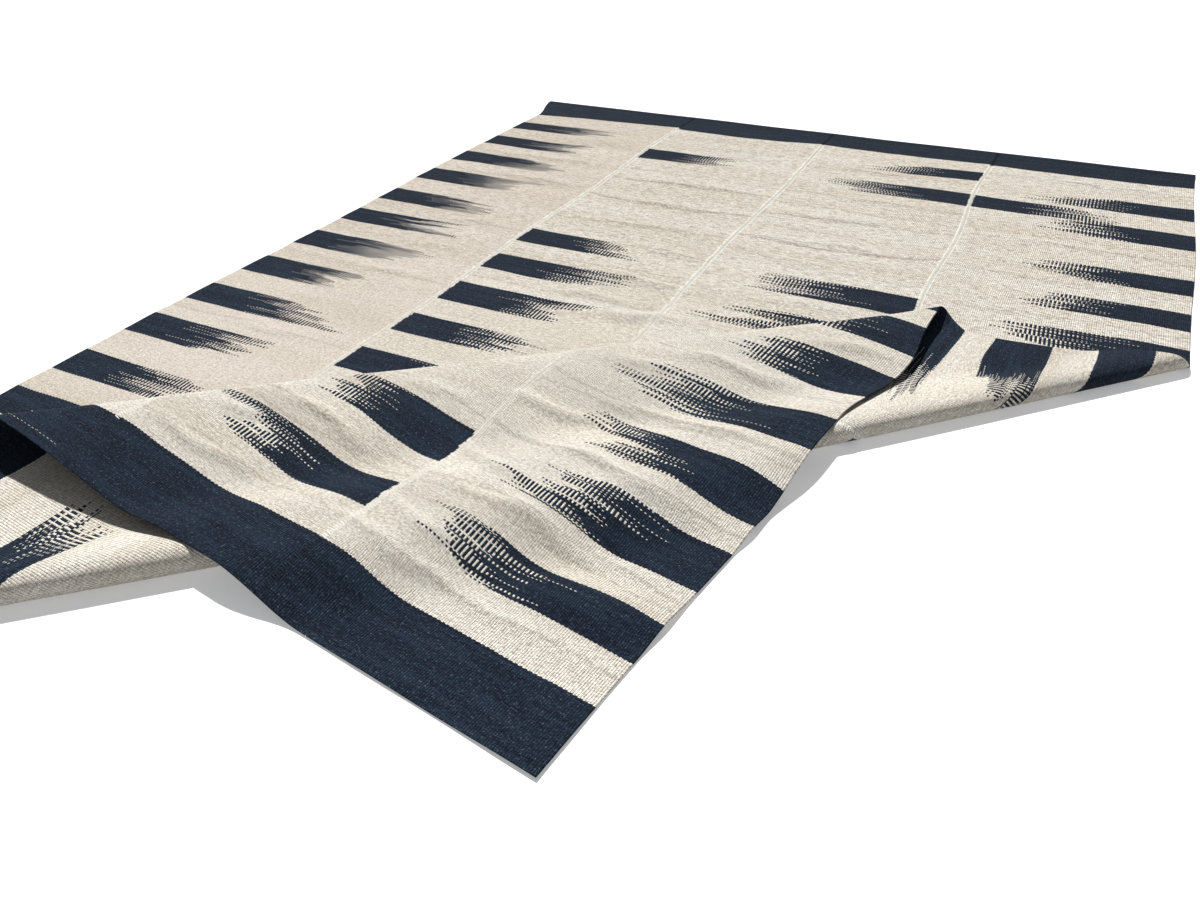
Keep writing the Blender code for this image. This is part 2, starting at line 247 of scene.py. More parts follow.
# Narrow folds along the picks: (across, down, slant, half length, half width, height)
RIPPLES = (
    (0.95, 0.745, 2.0, 0.3, 0.026, 0.0036), (0.93, 0.945, 1.0, 0.32, 0.028, 0.0042),
    (0.92, 1.135, 4.0, 0.28, 0.026, 0.0034), (1.1, 1.29, -7.0, 0.2, 0.03, 0.0055),
    (1.11, 1.5, -5.0, 0.22, 0.032, 0.0065), (0.98, 1.64, 6.0, 0.2, 0.028, 0.004),
    (1.18, 1.7, 12.0, 0.2, 0.04, 0.008), (0.95, 0.33, 3.0, 0.3, 0.03, 0.0035),
    (1.5, 0.38, -4.0, 0.3, 0.028, 0.0034), (1.5, 0.66, 0.0, 0.3, 0.03, 0.003),
    (1.48, 0.85, 5.0, 0.3, 0.026, 0.0036), (1.5, 1.055, 4.0, 0.32, 0.028, 0.0044),
    (1.42, 1.2, -5.0, 0.26, 0.028, 0.0036), (1.62, 1.45, 3.0, 0.22, 0.028, 0.0034),
    (2.1, 0.79, 1.0, 0.32, 0.028, 0.0026), (2.08, 1.045, -2.0, 0.3, 0.026, 0.0028),
    (2.12, 0.24, 2.0, 0.3, 0.024, 0.0024), (2.02, 1.27, 3.0, 0.26, 0.026, 0.0026),
    (0.34, 0.68, 2.0, 0.3, 0.03, 0.003), (0.36, 0.89, -3.0, 0.3, 0.028, 0.0034),
    (0.42, 1.315, 3.0, 0.26, 0.03, 0.0036), (0.4, 1.525, -2.0, 0.26, 0.028, 0.0036),
    (0.36, 1.735, 4.0, 0.26, 0.03, 0.0036), (0.34, 2.15, -3.0, 0.26, 0.028, 0.0034),
    (2.14, 2.55, 9.0, 0.26, 0.032, 0.006), (2.16, 2.795, 4.0, 0.28, 0.028, 0.0058),
    (1.93, 2.9, 13.0, 0.18, 0.026, 0.005), (2.14, 3.015, -4.0, 0.3, 0.026, 0.0056),
    (1.94, 3.12, -9.0, 0.18, 0.026, 0.0046), (2.12, 3.21, 2.0, 0.32, 0.024, 0.0052),
    (2.02, 3.405, 1.0, 0.4, 0.024, 0.004), (1.94, 3.33, -6.0, 0.16, 0.022, 0.0036),
    (1.58, 3.21, -3.0, 0.24, 0.024, 0.0058), (1.62, 3.01, 5.0, 0.18, 0.026, 0.0056),
    (1.38, 3.3, 9.0, 0.16, 0.022, 0.0048), (1.42, 3.415, 2.0, 0.28, 0.022, 0.0046),
    (1.16, 3.455, -2.0, 0.16, 0.022, 0.004), (0.98, 3.54, 3.0, 0.2, 0.022, 0.003),
    (1.96, 2.66, 10.0, 0.18, 0.028, 0.0052), (2.3, 2.33, 12.0, 0.16, 0.03, 0.005),
)

# How each fold sways: (swing, wavelength, turns of phase for each metre), and how much higher
# it stands than in the table, on the rug and again on the top layer
RIPPLE_SWAY = (0.007, 0.21, 3.7)
RIPPLE_GAIN = 1.7
TOP_RIPPLE_GAIN = 1.35

# Broad low waves: (wavelength, direction in degrees, height, phase in turns)
LOWER_WAVES = (
    (0.31, 84.0, 0.0011, 0.1),
    (0.193, 97.0, 0.001, 0.63),
    (0.127, 78.0, 0.0006, 0.31),
    (0.43, 12.0, 0.0007, 0.47),
)
UPPER_WAVES = (
    (0.37, 118.0, 0.0022, 0.2),
    (0.23, 148.0, 0.0016, 0.71),
    (0.145, 101.0, 0.0008, 0.43),
)

# Where the waves and narrow folds set in: (start, run)
COVERED_MARGIN = 0.02
COVERED_FADE = (-0.07, 0.06)
ROLL_FADE = (0.02, 0.1)
BEHIND_FADE = (0.06, 0.2)
FRONT_FADE = (-0.02, 0.16)
RIDGE_FADE = (0.05, 0.1)

# Colours of the wool, the thread and the floor
CREAM = (0.745, 0.695, 0.59, 1.0)
CREAM_WARM = (0.64, 0.56, 0.46, 1.0)
CREAM_PALE = (0.9, 0.87, 0.8, 1.0)
FEATHER_CREAM = (0.86, 0.85, 0.81, 1.0)
SEAM_CREAM = (0.95, 0.94, 0.895, 1.0)
ROSY = (0.56, 0.44, 0.37, 1.0)
SHADE = (0.43, 0.365, 0.305, 1.0)
STREAK = (0.3, 0.245, 0.19, 1.0)
# Painted shade in the grooves between ribs and beads
PAINTED_GROOVE_SHADE = (0.3, 0.25, 0.195, 1.0)
SPECK = (0.08, 0.055, 0.04, 1.0)
NAVY = (0.0048, 0.0088, 0.0185, 1.0)
NAVY_PALE = (0.02, 0.038, 0.068, 1.0)
NAVY_WORN = (0.13, 0.175, 0.225, 1.0)
THREAD = (0.9, 0.875, 0.8, 1.0)
THREAD_DARK = (0.008, 0.013, 0.025, 1.0)
FLOOR = (0.62, 0.62, 0.62, 1.0)
FLOOR_GLOW = 0.3

# Finish of each material
WOOL_FINISH = {
    "Roughness": 0.92, "Specular IOR Level": 0.1, "Sheen Weight": 0.02, "Sheen Roughness": 0.45,
}
THREAD_FINISH = {"Roughness": 0.88, "Specular IOR Level": 0.2, "Sheen Weight": 0.03}
FLOOR_FINISH = {
    "Base Color": FLOOR, "Roughness": 0.9, "Specular IOR Level": 0.1,
    "Emission Color": (1.0, 1.0, 1.0, 1.0), "Emission Strength": FLOOR_GLOW,
}

# Feathers: blocks of picks swap which of each two runs on, two lobes shape each feather, and
# some bundles run further: (share, picks in a bundle)
SWAP_PICKS = 18.0
SWAP_CHANCE = 0.8
FIRST_LOBE_POWER = 3.2
SECOND_LOBE_POWER = 2.8
SECOND_TIP_WIDTH = 0.62
LEAST_LOBE = 0.2
BUNDLES = ((0.4, 11.0), (0.6, 5.0))

# The long picks, as shares of the reach: least, by bundle, by pick, chance of a loss, loss
LONG_PICKS = (0.4, 0.64, 0.12, 0.14, 0.34)

# The short picks: where they start, as a share of the solid part, then where they end, as
# shares of the reach: least, by lobe, by lobe and bundle, and how they crowd there
SHORT_PICKS = (0.45, 0.1, 0.06, 0.74, 0.36)

# Where the paler ground of a feather fades out, as shares of its reach
FEATHER_FADE = (0.95, 0.25)

# Noises over the weave: (how fine across, how fine along, seed shift, detail, roughness)
NOISES = {
    "stray": (110.0, 150.0, 0.0, 2.0, 0.5),
    "drift": (9.0, 30.0, 3.0, 1.0, 0.5),
    "sway": (5.0, 4.0, 4.0, 1.0, 0.5),
    "skein": (1.3, 9.0, 5.0, 3.0, 0.5),
    "fine": (2.6, 85.0, 7.0, 3.0, 0.6),
    "broad": (1.1, 16.0, 8.0, 1.0, 0.5),
    "grain": (105.0, 260.0, 9.0, 3.0, 0.72),
    "cloud": (30.0, 125.0, 10.0, 4.0, 0.75),
    "speck": (170.0, 340.0, 15.0, 2.0, 0.5),
    "dye": (5.0, 70.0, 17.0, 3.0, 0.5),
    "fleck": (150.0, 260.0, 19.0, 4.0, 0.75),
    "fuzz": (900.0, 900.0, 21.0, 2.0, 0.5),
}

# How far the noises move the warps sideways and the picks lengthwise
STRAY_REACH = 0.0018
DRIFT_REACH = 0.004
SWAY_REACH = 0.014

# Patches of the wool, where a noise eases in: (noise, from, to)
PATCHES = {
    "even skein": ("skein", 0.36, 0.66),
    "warm skein": ("skein", 0.56, 0.8),
    "dark skein": ("broad", 0.6, 0.8),
    "dark picks": ("fine", 0.56, 0.76),
    "dark cloud": ("cloud", 0.49, 0.6),
    "pale cloud": ("cloud", 0.5, 0.4),
    "dark grain": ("grain", 0.5, 0.62),
    "pale grain": ("grain", 0.5, 0.38),
    "speck": ("speck", 0.67, 0.75),
    "pale dye": ("dye", 0.42, 0.66),
    "worn fleck": ("fleck", 0.54, 0.68),
    "deep grain": ("grain", 0.54, 0.42),
    # where the painted shade in the grooves is deeper
    "filled groove": ("grain", 0.4, 0.6),
}

# The far part of the rug is more mottled, with painted shade on its navy and painted light at the
# front: where this eases in, and what is left at the front
FAR_MOTTLE_AND_SHADE_RUN = (2.1, 1.3)
FAR_MOTTLE_AND_SHADE_FRONT = 0.3

# Tints laid over the wool one after another: (where, share, colour)
CREAM_TINTS = (
    ("even skein", 1.0, CREAM),
    ("warm skein", 0.55, CREAM_WARM),
    ("dark skein", 0.3, SHADE),
    ("dark picks", 0.42, SHADE),
    ("single pick", 0.12, SHADE),
    ("feather", 0.4, FEATHER_CREAM),
    # thin lines: a darker skein, and painted shade along creases
    ("streak", 0.9, STREAK),
    ("dark cloud", 0.8, SHADE),
    ("pale cloud", 0.9, CREAM_PALE),
    # painted light: the front part paler, as if more brightly lit
    ("front", 0.22, CREAM_PALE),
    ("dark grain", 0.42, STREAK),
    ("pale grain", 0.8, CREAM_PALE),
    ("bead", 0.32, STREAK),
    ("left strip", 0.2, ROSY),
    ("worn seam", 0.85, SEAM_CREAM),
    ("speck", 0.6, SPECK),
)
NAVY_TINTS = (
    ("pale dye", 0.7, NAVY_PALE),
    ("worn bead", 0.75, NAVY_PALE),
    ("worn fleck", 0.8, NAVY_WORN),
    ("deep grain", 0.5, NAVY),
    # painted shade: the navy darker towards the far end
    ("far_mottle_and_shade", 0.35, NAVY),
)

# The thin lines: how they wander, how much wider they are than in the table, where their edge
# fades, and where the fine noise breaks them up: from, to, share left
STREAK_NOISE = (14.0, 31.0, 12.0)
STREAK_WANDER = 0.016
STREAK_SPREAD = 1.5
STREAK_FADE = (1.3, 0.2)
STREAK_BREAKS = (0.2, 0.55, 0.45)

# Seam edges: where the worn pale margin fades, how unevenly, and how deep blocks of picks are
# bound with pale thread: least and more by block, and picks in a block
WORN_FADE = (0.0095, 0.0055)
WORN_UNEVENNESS = 0.006
BOUND_DEPTH = (0.0026, 0.006)
BOUND_PICKS = 5.0

# Relief of the weave: ribs, beads and the grooves between them, and how dark the painted shade in a
# groove is: at least, more by grain, and less on worn edges
RIB_ROUNDNESS = 3.7
BEAD_ROUNDNESS = 2.6
BEAD_LEAN = 0.45
RIB_GROOVE = (0.3, 0.8)
BEAD_GROOVE = (0.15, 0.75)
GROOVE_SHADE = (0.22, 0.42)
WORN_GROOVE = 0.8

# The depth of the relief, and the shares of ribs, beads, single beads, fuzz, lumps and lines
RELIEF_DEPTH = 0.0028
RELIEF_SHARES = (0.56, 0.8, 0.62, 0.25, 1.7, -0.5)

# Sewing thread: turns of ply, the painted shade between plies (from, to, share), how fine the fuzz
# is, and the depth and strength of the relief
PLY_TURNS = 2.2
PLY_SHADE = (-0.2, -1.0, 0.2)
THREAD_FUZZ = (14.0, 6.0, 90.0)
THREAD_RELIEF = (0.0003, 0.7)

# A stitch: its tube, how full its arch is, how far it stands and sinks as shares of its rise,
# and its thickness, at the ends and more in the middle
STITCH_SIDES = 6
STITCH_RINGS = 6
STITCH_ARCH = 0.6
STITCH_STAND = 1.5
STITCH_SINK = 0.6
STITCH_THICKNESS = (0.55, 0.45)
STITCH_FLATNESS = 0.6

# Overcast stitches along the seams
SEAM_PITCH = 0.0054
SEAM_REACH = 0.008
SEAM_SLANT = 0.0016
SEAM_RISE = 0.0009
SEAM_SCATTER = 0.0006
THREAD_RADIUS = 0.0011
BAND_MARGIN = 0.004
OFF_THE_FLOOR = 0.006

# Running stitches along the hems
HEM_STITCH = 0.0075
HEM_PITCH = 0.0135
HEM_LINE = 0.0215
HEM_INSET = 0.01
HEM_RISE = 0.0004
HEM_RADIUS = 0.0006
HEM_SCATTER = (0.0008, 0.0007)
PALE_HEM_STRIP = 1

FLOOR_SIZE = 14.0
FLOOR_DROP = 0.0006


def smooth(value):
    """Ease from 0 to 1."""
    value = np.clip(value, 0.0, 1.0)
    return value * value * (3.0 - 2.0 * value)


def fade_in(distance, start, run):
    """Ease from 0 to 1 over a run that begins at start."""
    return smooth((distance - start) / run)


def blend(pair, share):
    return pair[0] + (pair[1] - pair[0]) * share


def through(left, middle, right, share):
    """A smooth curve through its values at the left edge, the middle and the right edge."""
    value = left * (1 - share) * (1 - 2 * share) + 4 * middle * share * (1 - share)
    return value + right * share * (2 * share - 1)


def place_of(across, down):
    """The point of the flat rug that lies so far across and down."""
    return np.array((across - RUG_WIDTH / 2, RUG_LENGTH / 2 - down))


class Crease:
    """A straight crease that opens into a round roll, wider towards its left end."""

    def __init__(self, down, slant, radius, length):
        angle = radians(slant)
        self.origin = place_of(RUG_WIDTH, down)
        self.direction = np.array((-cos(angle), -sin(angle)))
        self.normal = np.array((sin(angle), -cos(angle)))
        self.radii = radius
        self.length = length

    def locate(self, flat):
        """How far flat points lie along the crease, and how far past it."""
        offset = flat - self.origin
        return offset @ self.direction, offset @ self.normal

    def point(self, along, past):
        return self.origin + along[:, None] * self.direction + past[:, None] * self.normal

    def share(self, along):
        return np.clip(along / self.length, -0.2, 1.25)

    def radius(self, along):
        return blend(self.radii, self.share(along))

    def half_turn(self, along):
        return self.radius(along) * pi / 2


FIRST = Crease(**FIRST_CREASE)
SECOND = Crease(**SECOND_CREASE)


def bow(along, past):
    middle = np.sin(pi * np.clip(along / FIRST.length, 0.0, 1.0))
    return BOW * middle * (1.0 - smooth(np.abs(past) / BOW_RUN))


def slide(layer, place):
    total = np.zeros_like(place)
    for name, across, down, reach, sideways, forwards in SLIDES:
        if name == layer:
            distance = np.linalg.norm(place - place_of(across, down), axis=1)
            share = 1.0 - smooth(distance / reach)
            total += share[:, None] * np.array((sideways, -forwards))
    return total


def middle_layer_height(along, past):
    resting = 2 * THICKNESS + LAYER_GAP
    falling = 1.0 - smooth((past - FIRST.half_turn(along)) / FIRST_ROLL_RUN)
    return resting + (2 * FIRST.radius(along) - resting) * falling


def beside(flat, across, down, slant):
    """How far flat points lie along and beside a slanting line through one place."""
    offset = flat - place_of(across, down)
    angle = radians(slant)
    lengthwise = offset[:, 0] * cos(angle) + offset[:, 1] * sin(angle)
    sideways = offset[:, 1] * cos(angle) - offset[:, 0] * sin(angle)
    return lengthwise, sideways


def mound(lengthwise, sideways, half_length, half_width, height):
    """A soft rise, highest in its middle."""
    fading = 1.0 - smooth(np.abs(lengthwise) / half_length)
    return height * fading * (1.0 - smooth(np.abs(sideways) / half_width))


def swell_height(flat):
    total = np.zeros(len(flat))
    for across, down, slant, *size in SWELLS:
        total += mound(*beside(flat, across, down, slant), *size)
    return total


def top_layer_height(flat, along, past, ridge_along, ridge_past):
    under = middle_layer_height(along, np.maximum(past, FIRST.half_turn(along))) + LAYER_GAP
    drop = 1.0 - smooth((-past - DROP_START - bow(along, 0.0)) / DROP_RUN)
    ridge_run = blend(RIDGE_RUN, SECOND.share(ridge_along))
    rise = 2 * SECOND.radius(ridge_along) - LAYER_GAP
    fading = 1.0 - smooth((ridge_past - SECOND.half_turn(ridge_along)) / ridge_run)
    return under * drop + rise * fading + swell_height(flat)


def fold(flat, lift):
    """Where points of the flat cloth, raised by lift from its back face, lie in the rug."""
    along, past = FIRST.locate(flat)
    radius = FIRST.radius(along)
    half_turn = FIRST.half_turn(along)

    lower = FIRST.point(along, past + bow(along, past + half_turn))

    turn = past / radius + pi / 2
    reach = (radius - lift) * np.sin(turn) - half_turn
    roll = FIRST.point(along, reach + bow(along, 0.0))
    roll_height = radius - (radius - lift) * np.cos(turn)

    ridge_along, ridge_past = SECOND.locate(flat)
    ridge_radius = SECOND.radius(ridge_along)
    ridge_half = SECOND.half_turn(ridge_along)
    ridge_turn = np.clip(ridge_past / ridge_radius + pi / 2, 0.0, pi)
    before_ridge = ridge_past <= -ridge_half
    after_ridge = ridge_past >= ridge_half
    over = SECOND.point(ridge_along, (ridge_radius + lift) * np.sin(ridge_turn) - ridge_half)
    back = SECOND.point(ridge_along, -ridge_past)
    unfolded = np.where(before_ridge[:, None], flat, np.where(after_ridge[:, None], back, over))
    upper_along, upper_past = FIRST.locate(unfolded)
    upper = FIRST.point(upper_along, -upper_past)
    give = bow(upper_along, upper_past - FIRST.half_turn(upper_along)) * ~after_ridge
    upper = upper + give[:, None] * FIRST.normal
    middle_slide, top_slide = slide("middle", upper), slide("top", upper)
    upper = upper + middle_slide + (top_slide - middle_slide) * (ridge_turn / pi)[:, None]
    rising = middle_layer_height(upper_along, upper_past)
    rising = rising + ridge_radius * (1.0 - np.cos(ridge_turn)) - lift * np.cos(ridge_turn)
    top = top_layer_height(flat, upper_along, upper_past, ridge_along, ridge_past) + lift
    upper_height = np.where(after_ridge, top, rising)

    is_lower = past <= -half_turn
    is_roll = ~is_lower & (past < half_turn)
    place = np.where(is_lower[:, None], lower, np.where(is_roll[:, None], roll, upper))
    height = np.where(is_lower, lift, np.where(is_roll, roll_height, upper_height))
    return np.column_stack((place, height))


def layer_of(flat):
    """0 for the lower layer and roll, 1 for the middle one, 2 for the ridge, 3 for the top."""
    along, past = FIRST.locate(flat)
    ridge_along, ridge_past = SECOND.locate(flat)
    half = SECOND.half_turn(ridge_along)
    upper = np.where(ridge_past < -half, 1, np.where(ridge_past < half, 2, 3))
    return np.where(past < FIRST.half_turn(along), 0, upper)


def waves(place, rows):
    """A sum of soft waves, from 0 up."""
    total = np.zeros(len(place))
    for wavelength, direction, height, phase in rows:
        angle = radians(direction)
        distance = place[:, 0] * cos(angle) + place[:, 1] * sin(angle)
        total += height * (0.5 + 0.5 * np.sin(2 * pi * (distance / wavelength + phase)))
    return total


def ripple_height(flat):
    swing, wavelength, phase = RIPPLE_SWAY
    total = np.zeros(len(flat))
    for across, down, slant, *size in RIPPLES:
        lengthwise, sideways = beside(flat, across, down, slant)
        turn = 2 * pi * (lengthwise / wavelength + phase * across)
        total += mound(lengthwise, sideways + swing * np.sin(turn), *size)
    return total


def relief(flat):
    """Small rises of the cloth that doesn't lie quite flat."""
    layer = layer_of(flat)
    place = fold(flat, np.zeros(len(flat)))[:, :2]
    along, past = FIRST.locate(flat)
    mirrored = FIRST.point(along, -past)
    ridge_along, ridge_past = SECOND.locate(mirrored)
    to_ridge = SECOND.half_turn(ridge_along) - ridge_past + COVERED_MARGIN
    to_edges = (RUG_WIDTH / 2 - mirrored[:, 0], mirrored[:, 1] + RUG_LENGTH / 2)
    inside = np.minimum.reduce((*to_edges, to_ridge))
    free = 1.0 - fade_in(inside, *COVERED_FADE)
    free *= fade_in(-past - FIRST.half_turn(along), *ROLL_FADE)
    narrow = RIPPLE_GAIN * ripple_height(flat)
    lower = (waves(flat, LOWER_WAVES) + narrow) * free

    behind = -FIRST.locate(place)[1]
    shared = waves(place, UPPER_WAVES) * fade_in(behind, *BEHIND_FADE)
    own = waves(flat, UPPER_WAVES) * fade_in(-behind, *FRONT_FADE)
    own = own + TOP_RIPPLE_GAIN * narrow * fade_in(SECOND.locate(flat)[1], *RIDGE_FADE)
    return np.where(layer == 0, lower, np.where(layer == 3, shared + own, shared))


def flare(flat, place):
    """Draw the far left corner out sideways."""
    across = flat[:, 0] + RUG_WIDTH / 2
    down = RUG_LENGTH / 2 - flat[:, 1]
    pull = (1.0 - smooth(across / FLARE_RUN[0])) * (1.0 - smooth(down / FLARE_RUN[1]))
    place[:, 0] -= FLARE * pull
    return place


def lay(flat, lift, outward=0.0):
    """Final places of points of the flat cloth in the rug."""
    place = fold(flat + outward, lift)
    place[:, 2] += relief(flat)
    return flare(flat, place)


def edge_across(index, down):
    drift, swing, wavelength, phase = EDGE_WANDER[index]
    wander = swing * np.sin(2 * pi * (down / wavelength + phase))
    wander = wander + drift * down / RUG_LENGTH
    return sum(STRIP_WIDTHS[:index]) - RUG_WIDTH / 2 + wander


def cloth_thickness(y):
    from_end = RUG_LENGTH / 2 - np.abs(y)
    return THICKNESS + HEM_EXTRA * (1.0 - smooth((from_end - HEM_DEPTH) / HEM_STEP))


def grid_lines(length, lines):
    """Places of grid lines from 0 to length: close at both ends, even between them."""
    inner = length - 2 * lines[-1]
    count = max(1, round(inner / GRID_STEP))
    even = lines[-1] + inner * np.arange(1, count) / count
    return np.concatenate((lines, even, length - np.array(lines)[::-1]))


def picks_at(index, share, down):
    """Place along the weave, which leans with the far navy band and bends at the pulls."""
    lean = 1.0 - fade_in(down, *LEAN_FADE)
    picks = down + (FAR_BAND - through(*BAND_EDGES[index], share)) * lean
    for strip, across, at, reach_across, reach_along, shift in PULLS:
        if strip == index:
            distance = ((share * STRIP_WIDTHS[index] - across) / reach_across) ** 2
            distance = distance + ((down - at) / reach_along) ** 2
            picks = picks + shift * (1.0 - smooth(np.sqrt(distance)))
    return picks


def nearest_bars(bars, picks):
    """For each place along the weave, the numbers of the nearest bar, as three triples."""
    table = []
    for seed, (middle, depth, solid, tip, tip_at, second_at, second_share) in enumerate(bars):
        half = depth / 2
        first_tip = np.clip((tip_at - middle) / half, -TIP_LIMIT, TIP_LIMIT)
        second_tip = np.clip((second_at - middle) / half, -TIP_LIMIT, TIP_LIMIT)
        first_width = FIRST_TIP_WIDTH[0] - FIRST_TIP_WIDTH[1] * abs(first_tip)
        table.append(
            (middle, half, seed + 1.0, solid, tip - solid, first_tip)
            + (second_tip, second_share, first_width)
        )
    table = np.array(table)
    distance = np.abs(picks[:, None] - table[None, :, 0]) - table[None, :, 1]
    return table[np.argmin(distance, axis=1)]


def nearest_streaks(index, share, down):
    """For each place, the numbers of the nearest thin line: where it runs, half width, strength."""
    swing, turns, phase = STREAK_SWAY
    table = []
    for left, middle, right, half_width, strength in STREAKS[index]:
        at = through(left, middle, right, share)
        at = at + swing * np.sin(2 * pi * (share * turns + phase * left))
        table.append((at, np.full(len(share), half_width), np.full(len(share), strength)))
    table = np.array(table)
    nearest = np.argmin(np.abs(table[:, 0] - down), axis=0)
    return table[nearest, :, np.arange(len(share))]


def add_attribute(piece, name, domain, values, kind="FLOAT_VECTOR", field="vector"):
    piece.data.attributes.new(name, kind, domain).data.foreach_set(field, np.ravel(values))


def link(name, data):
    piece = bpy.data.objects.new(name, data)
    bpy.context.scene.collection.objects.link(piece)
    return piece


def new_piece(name, verts, faces, materials):
    mesh = bpy.data.meshes.new(name)
    mesh.from_pydata(verts.tolist(), [], faces.tolist())
    mesh.shade_smooth()
    for material in materials:
        mesh.materials.append(material)
    piece = link(name, mesh)
    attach(piece, "root")
    return piece


def strip_piece(index, material):
    """One woven strip: front face, back face and a rounded rim between them."""
    width = STRIP_WIDTHS[index]
    columns = grid_lines(width, EDGE_LINES) / width
    rows = grid_lines(RUG_LENGTH, HEM_LINES)
    share, down = (grid.ravel() for grid in np.meshgrid(columns, rows))
    left = edge_across(index, down) + SEAM_GAP / 2
    right = edge_across(index + 1, down) - SEAM_GAP / 2
    flat = np.column_stack((left + (right - left) * share, RUG_LENGTH / 2 - down))

    to_edge = np.minimum.reduce((share * width, (1 - share) * width, down, RUG_LENGTH - down))
    dip = EDGE_DIP * (1.0 - np.clip(to_edge / EDGE_DIP_RUN, 0.0, 1.0)) ** 2
    thickness = cloth_thickness(flat[:, 1])
    front = lay(flat, thickness - dip)
    back = lay(flat, dip)

    row_count, column_count = len(rows), len(columns)
    number = np.arange(row_count * column_count).reshape(row_count, column_count)
    ring = np.concatenate((number[0, :-1], number[:-1, -1], number[-1, :0:-1], number[:0:-1, 0]))
    outward = np.zeros((len(ring), 2))
    at_left, at_right = share[ring] == columns[0], share[ring] == columns[-1]
    outward[at_left, 0] -= RIM_BULGE if index == 0 else SEAM_GAP / 6
    outward[at_right, 0] += RIM_BULGE if index == 3 else SEAM_GAP / 6
    outward[down[ring] == rows[0], 1] += RIM_BULGE
    outward[down[ring] == rows[-1], 1] -= RIM_BULGE
    rim = lay(flat[ring], thickness[ring] / 2, outward)

    quads = (number[:-1, :-1], number[1:, :-1], number[1:, 1:], number[:-1, 1:])
    quads = np.stack(quads, axis=-1).reshape(-1, 4)
    size = number.size
    next_ring = np.roll(ring, -1)
    middle = 2 * size + np.arange(len(ring))
    next_middle = np.roll(middle, -1)
    upper_rim = np.column_stack((ring, next_ring, next_middle, middle))
    lower_rim = np.column_stack((middle, next_middle, next_ring + size, ring + size))
    faces = np.concatenate((quads, quads[:, ::-1] + size, upper_rim, lower_rim))
    verts = np.concatenate((front, back, rim))
    piece = new_piece(f"strip_{index + 1}", verts, faces, [material])

    picks = picks_at(index, share, down)
    weave = np.column_stack((share * width, picks, np.zeros(size)))
    weave = np.concatenate((weave, weave, weave[ring]))
    add_attribute(piece, "weave", "POINT", weave)
    is_back = np.zeros(len(faces))
    is_back[len(quads):2 * len(quads)] = 1.0
    is_back[2 * len(quads) + len(ring):] = 1.0
    add_attribute(piece, "is_back", "FACE", is_back, "FLOAT", "value")
    face_picks = weave[faces, 1].mean(axis=1)
    face_share = weave[faces, 0].mean(axis=1) / width
    face_down = np.concatenate((down, down, down[ring]))[faces].mean(axis=1)
    streak = nearest_streaks(index, face_share, face_down)
    streak[:, 0] += face_picks - face_down
    add_attribute(piece, "streak", "FACE", streak)
    for side, bars in (("left", LEFT_BARS.get(index)), ("right", RIGHT_BARS.get(index))):
        if bars:
            nearest = nearest_bars(bars, face_picks)
            for part in range(3):
                values = nearest[:, 3 * part:3 * part + 3]
                add_attribute(piece, f"{side}_bar_{part}", "FACE", values)
    return piece


def operator(operation, flipped=False):
    """A method that makes a math node from a field and another value."""
    if flipped:
        return lambda self, other: calc(operation, other, self)
    return lambda self, other: calc(operation, self, other)


class Field:
    """A number that varies over the surface: an output socket to calculate with."""

    def __init__(self, socket):
        self.socket = socket

    __add__ = operator("ADD")
    __radd__ = operator("ADD", flipped=True)
    __sub__ = operator("SUBTRACT")
    __rsub__ = operator("SUBTRACT", flipped=True)
    __mul__ = operator("MULTIPLY")
    __rmul__ = operator("MULTIPLY", flipped=True)
    __truediv__ = operator("DIVIDE")
    __lt__ = operator("LESS_THAN")
    __gt__ = operator("GREATER_THAN")


def connect(value, socket):
    if isinstance(value, Field):
        socket.id_data.links.new(value.socket, socket)
    else:
        socket.default_value = value


def new_node(tree, kind, *values, **settings):
    node = tree.nodes.new(kind)
    for name, value in settings.items():
        setattr(node, name, value)
    for socket, value in zip(node.inputs, values):
        if value is not None:
            connect(value, socket)
    return node


def tree_of(values):
    return next(value.socket.id_data for value in values if isinstance(value, Field))


def calc(operation, *values):
    node = new_node(tree_of(values), "ShaderNodeMath", *values, operation=operation)
    return Field(node.outputs[0])


def floor(value):
    return calc("FLOOR", value)


def ease(value, start, end, low=0.0, high=1.0):
    """Ease from low at start to high at end."""
    node = new_node(
        tree_of((value,)), "ShaderNodeMapRange", value, start, end, low, high,
        interpolation_type="SMOOTHSTEP",
    )
    return Field(node.outputs[0])


def vector(x, y, z=0.0):
    return Field(new_node(tree_of((x, y, z)), "ShaderNodeCombineXYZ", x, y, z).outputs[0])


def parts(value):
    node = new_node(tree_of((value,)), "ShaderNodeSeparateXYZ", value)
    return [Field(output) for output in node.outputs[:3]]


def chance(x, y, z=0.0):
    """A random number from 0 to 1 for each cell."""
    node = new_node(tree_of((x, y)), "ShaderNodeTexWhiteNoise", noise_dimensions="3D")
    connect(vector(x, y, z), node.inputs["Vector"])
    return Field(node.outputs["Value"])


def noise(x, y, z=0.0, detail=2.0, roughness=0.5):
    node = new_node(tree_of((x, y)), "ShaderNodeTexNoise", noise_dimensions="3D")
    connect(vector(x, y, z), node.inputs["Vector"])
    node.inputs["Scale"].default_value = 1.0
    node.inputs["Detail"].default_value = detail
    node.inputs["Roughness"].default_value = roughness
    return Field(node.outputs[0])


def mix(share, first, second):
    node = new_node(tree_of((share, first, second)), "ShaderNodeMix", data_type="RGBA")
    connect(share, node.inputs[0])
    connect(first, node.inputs[6])
    connect(second, node.inputs[7])
    return Field(node.outputs[2])


def read_attribute(tree, name, output):
    node = new_node(tree, "ShaderNodeAttribute", attribute_name=name)
    return Field(node.outputs[output])


def weave_cell(across, along, is_back):
    """The rib and the pick that show at a place of the weave, and where they lie."""
    column = floor(across / WARP_PITCH)
    odd = calc("FLOORED_MODULO", column + is_back, 2.0)
    pick = floor((along / PICK_PITCH - odd) * 0.5 + 0.5) * 2.0 + odd
    return column, pick, (column + 0.5) * WARP_PITCH, pick * PICK_PITCH


